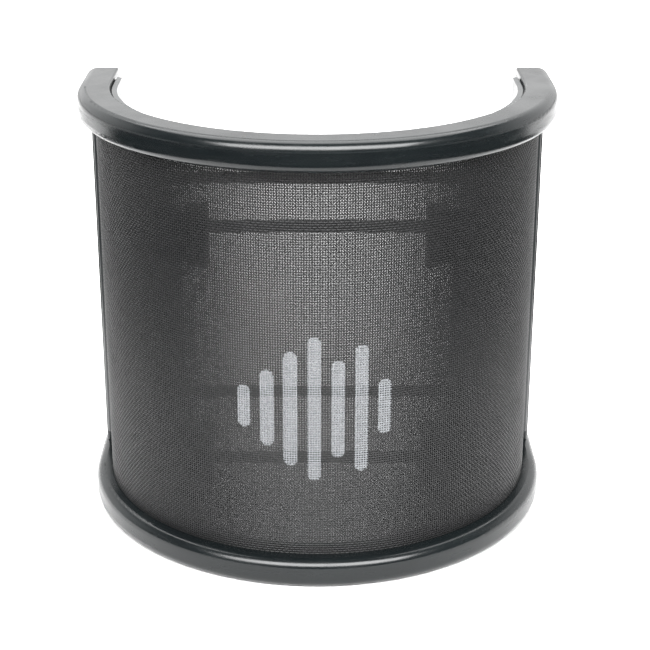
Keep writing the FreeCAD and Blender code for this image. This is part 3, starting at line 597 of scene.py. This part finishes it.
def studio_air():
    """Bright white walls at the back and the sides up to about 45 degrees, and a dim ceiling and front."""
    air = bpy.data.worlds.new("studio_air")
    air.use_nodes = True
    tree = air.node_tree
    coordinates = tree.nodes.new("ShaderNodeTexCoord")
    parts = tree.nodes.new("ShaderNodeSeparateXYZ")
    tree.links.new(coordinates.outputs["Generated"], parts.inputs["Vector"])
    side = math_node(tree, "ABSOLUTE", parts.outputs["X"])
    turned = math_node(tree, "MULTIPLY_ADD", side, WALL_TURN, parts.outputs["Y"])
    round_wall = smooth(tree, turned, *WALL_START)
    height = smooth(tree, parts.outputs["Z"], *WALL_TOP)
    wall = math_node(tree, "MULTIPLY", round_wall, height)
    strength = math_node(tree, "MULTIPLY_ADD", wall, WALL_LIGHT - ROOM_LIGHT, ROOM_LIGHT)
    tree.links.new(strength, tree.nodes["Background"].inputs["Strength"])
    tree.nodes["Background"].inputs["Color"].default_value = (1, 1, 1, 1)
    return air


floor_corners = level_corners(-FLOOR_HALF, -FLOOR_HALF, FLOOR_HALF, FLOOR_HALF, 0)
floor = mesh_object("studio_floor", floor_corners, [(0, 1, 2, 3)], floor_material())
bpy.context.scene.world = studio_air()


# ---- lights ----

# Places and sizes in metres, power in watts.
OBJECT_AIM = (0, 0, 0.06)
KEY_HEADING = math.radians(46.5)
KEY_DISTANCE = 1.1
KEY_PLACE = (0, -KEY_DISTANCE * math.cos(KEY_HEADING), KEY_DISTANCE * math.sin(KEY_HEADING))
KEY_SIZE = (1.7, 0.6)
KEY_POWER = 46
REAR_PLACE = (0, 0.45, 1.02)
REAR_SIZE = (1.2, 0.8)
REAR_POWER = 13.6
FILL_PLACE = (0, 1.1, 1.4)
FILL_AIM = (0, 0.9, 0)
FILL_SIZE = (1.5, 1.0)
FILL_POWER = 22


def area_light(name, place, aim, size, power):
    """A rectangular softbox that faces its aim."""
    data = bpy.data.lights.new(name, "AREA")
    data.shape = "RECTANGLE"
    data.size, data.size_y = size
    data.energy = power
    light = bpy.data.objects.new(name, data)
    light.location = place
    light.rotation_euler = (Vector(aim) - Vector(place)).to_track_quat("-Z", "Y").to_euler()
    bpy.context.scene.collection.objects.link(light)
    return light


area_light("front_softbox", KEY_PLACE, OBJECT_AIM, KEY_SIZE, KEY_POWER)
area_light("rear_softbox", REAR_PLACE, OBJECT_AIM, REAR_SIZE, REAR_POWER)
back_fill = area_light("back_fill", FILL_PLACE, FILL_AIM, FILL_SIZE, FILL_POWER)
back_fill.visible_glossy = False


# ---- black card round the front, seen in reflections only ----

CARD_Z = 0.002
CARD_FAR = 0.8
CARD_SIDE = 0.15
CARD_FRONT = -0.12
CARD_BACK = 0.15
CARD_PARTS = [(-CARD_FAR, -CARD_FAR, CARD_FAR, CARD_FRONT), (-CARD_FAR, CARD_FRONT, -CARD_SIDE, CARD_BACK),
              (CARD_SIDE, CARD_FRONT, CARD_FAR, CARD_BACK)]


def card_material():
    """Black velvet."""
    material, tree, shader = new_material("black_velvet")
    pile = noise(tree, object_coordinates(tree), 400.0, 2.0)
    tree.links.new(ramp(tree, pile, [(0.3, (0.01, 0.01, 0.01)), (0.7, (0.02, 0.02, 0.02))]),
                   shader.inputs["Base Color"])
    shader.inputs["Roughness"].default_value = 0.95
    shader.inputs["Specular IOR Level"].default_value = 0.05
    return material


card_points = [corner for part in CARD_PARTS for corner in level_corners(*part, CARD_Z)]
card_faces = np.arange(len(card_points)).reshape(-1, 4)
front_card = mesh_object("front_card", card_points, card_faces, card_material())
front_card.visible_camera = False
front_card.visible_diffuse = False
front_card.visible_shadow = False
front_card.visible_transmission = False


# ---- camera ----

CAMERA_BACK = 0.37335
CAMERA_RISE = 0.08544
CAMERA_DIP = math.radians(21.49)

camera_data = bpy.data.cameras.new("camera")
camera_data.sensor_width = 36.0
camera_data.lens = 90.05
camera_data.clip_start = 0.01
camera_data.clip_end = 50
camera_data.shift_x = 0.0117
camera_data.shift_y = 0.0028
camera = bpy.data.objects.new("camera", camera_data)
camera.location = (0, ARC_Y - CAMERA_BACK, TOP_Z + CAMERA_RISE)
camera.rotation_euler = (math.pi / 2 - CAMERA_DIP, 0, 0)
bpy.context.scene.collection.objects.link(camera)
bpy.context.scene.camera = camera
bpy.context.scene.view_settings.view_transform = "Standard"
